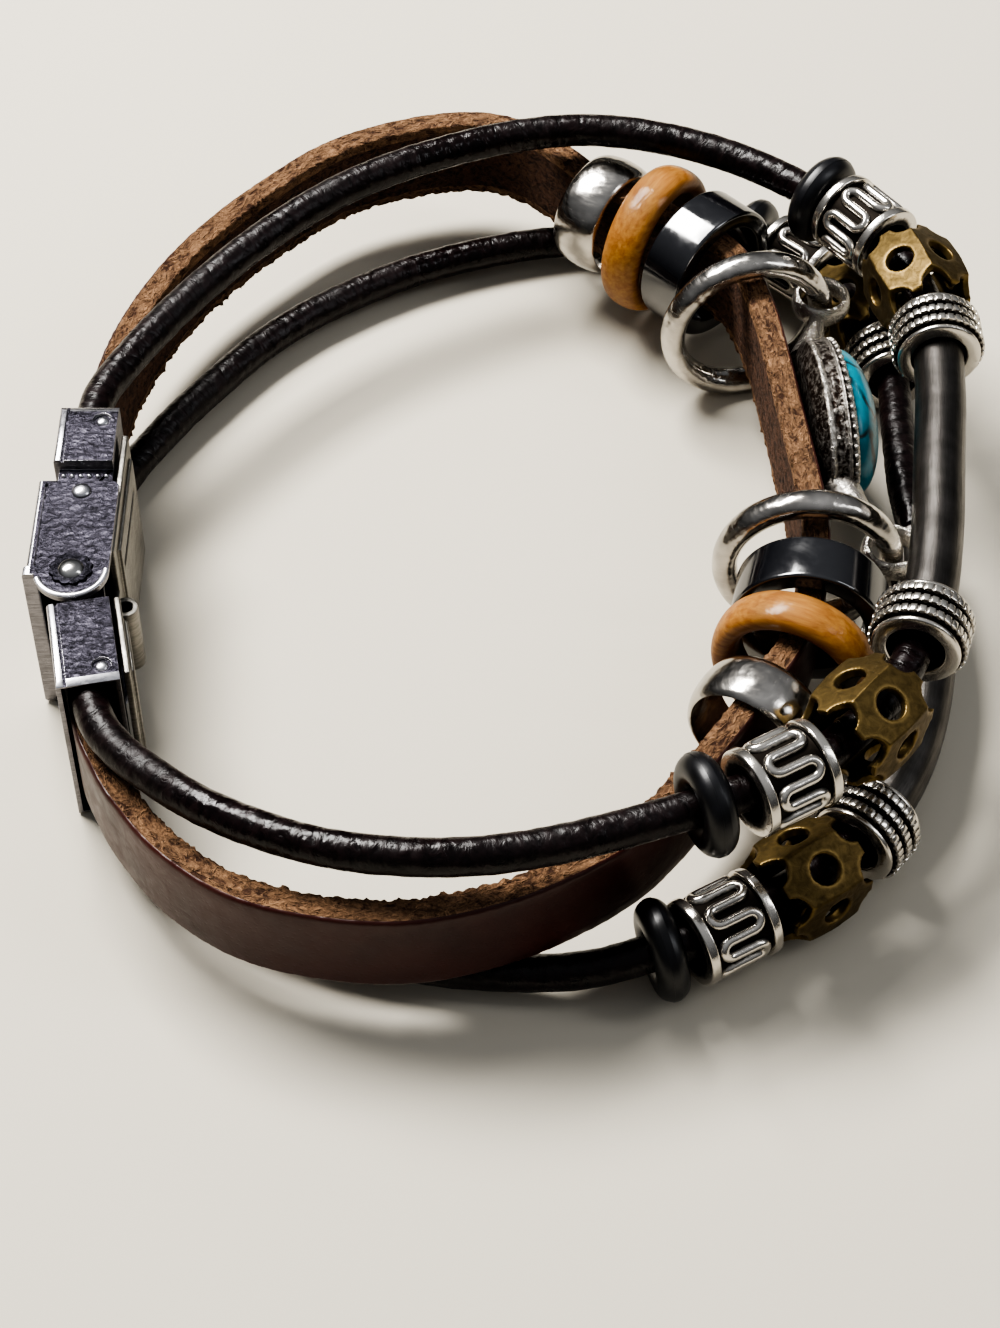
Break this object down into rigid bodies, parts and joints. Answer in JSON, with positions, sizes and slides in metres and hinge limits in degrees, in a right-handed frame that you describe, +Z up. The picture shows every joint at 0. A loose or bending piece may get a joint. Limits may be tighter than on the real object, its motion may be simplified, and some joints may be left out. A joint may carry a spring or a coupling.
{
  "type": "leather bracelet",
  "caption": "Closed loop of a flat leather strap and two round leather cords strung with metal, wood and rubber beads and a turquoise, with a fold-over steel clasp.",
  "frame": {"origin": "middle of the loop's footprint, on the surface that the bracelet lies on", "axes": "+Z up, along the axis of the loop; +Y along the loop's longer way, the clasp at -X and the beads at +X"},
  "size_m": [0.0744, 0.0888, 0.0192],
  "materials": {
    "strap": "oxblood brown flat leather strap with raw tan edges",
    "cord": "near-black round leather cord",
    "rubber": "matt black rubber ring",
    "silver": "antiqued silver with dark recesses",
    "bronze": "antiqued bronze with worn golden edges",
    "gunmetal": "satin gunmetal",
    "polished": "polished silver",
    "wood": "glossy amber wood",
    "hematite": "polished black stone",
    "turquoise": "turquoise cabochon with dark matrix lines",
    "clasp_steel": "dark satin steel with bright worn edges"
  },
  "bodies": {
    "bracelet": {"leather_strap": "strap", "cord_top": "cord", "cord_bottom": "cord", "o_ring_top_back": "rubber", "engraved_bead_top_back": "silver", "pierced_bead_top_back": "bronze", "ribbed_bead_top_back": "silver", "o_ring_top_front": "rubber", "engraved_bead_top_front": "silver", "pierced_bead_top_front": "bronze", "ribbed_bead_top_front": "silver", "curved_tube_top": "gunmetal", "o_ring_bottom_back": "rubber", "engraved_bead_bottom_back": "silver", "pierced_bead_bottom_back": "bronze", "ribbed_bead_bottom_back": "silver", "o_ring_bottom_front": "rubber", "engraved_bead_bottom_front": "silver", "pierced_bead_bottom_front": "bronze", "ribbed_bead_bottom_front": "silver", "curved_tube_bottom": "gunmetal", "rondelle_back": "polished", "wood_ring_back": "wood", "black_ring_back": "hematite", "big_ring_back": "polished", "rondelle_front": "polished", "wood_ring_front": "wood", "black_ring_front": "hematite", "big_ring_front": "polished", "turquoise": "turquoise", "stone_setting": "silver", "clasp_back_box": "clasp_steel", "clasp_front_box": "clasp_steel", "clasp_blade_back": "clasp_steel", "clasp_blade_front": "clasp_steel", "clasp_hinge_pin": "polished"},
    "lid": {"clasp_lid": "clasp_steel"}
  },
  "joints": [
    {"name": "lid_hinge", "type": "hinge", "parent": "bracelet", "child": "lid", "pos_m": [-0.03355, -0.01389, 0.0075], "axis": [0, 0, 1], "range_deg": [0, 60]}
  ]
}
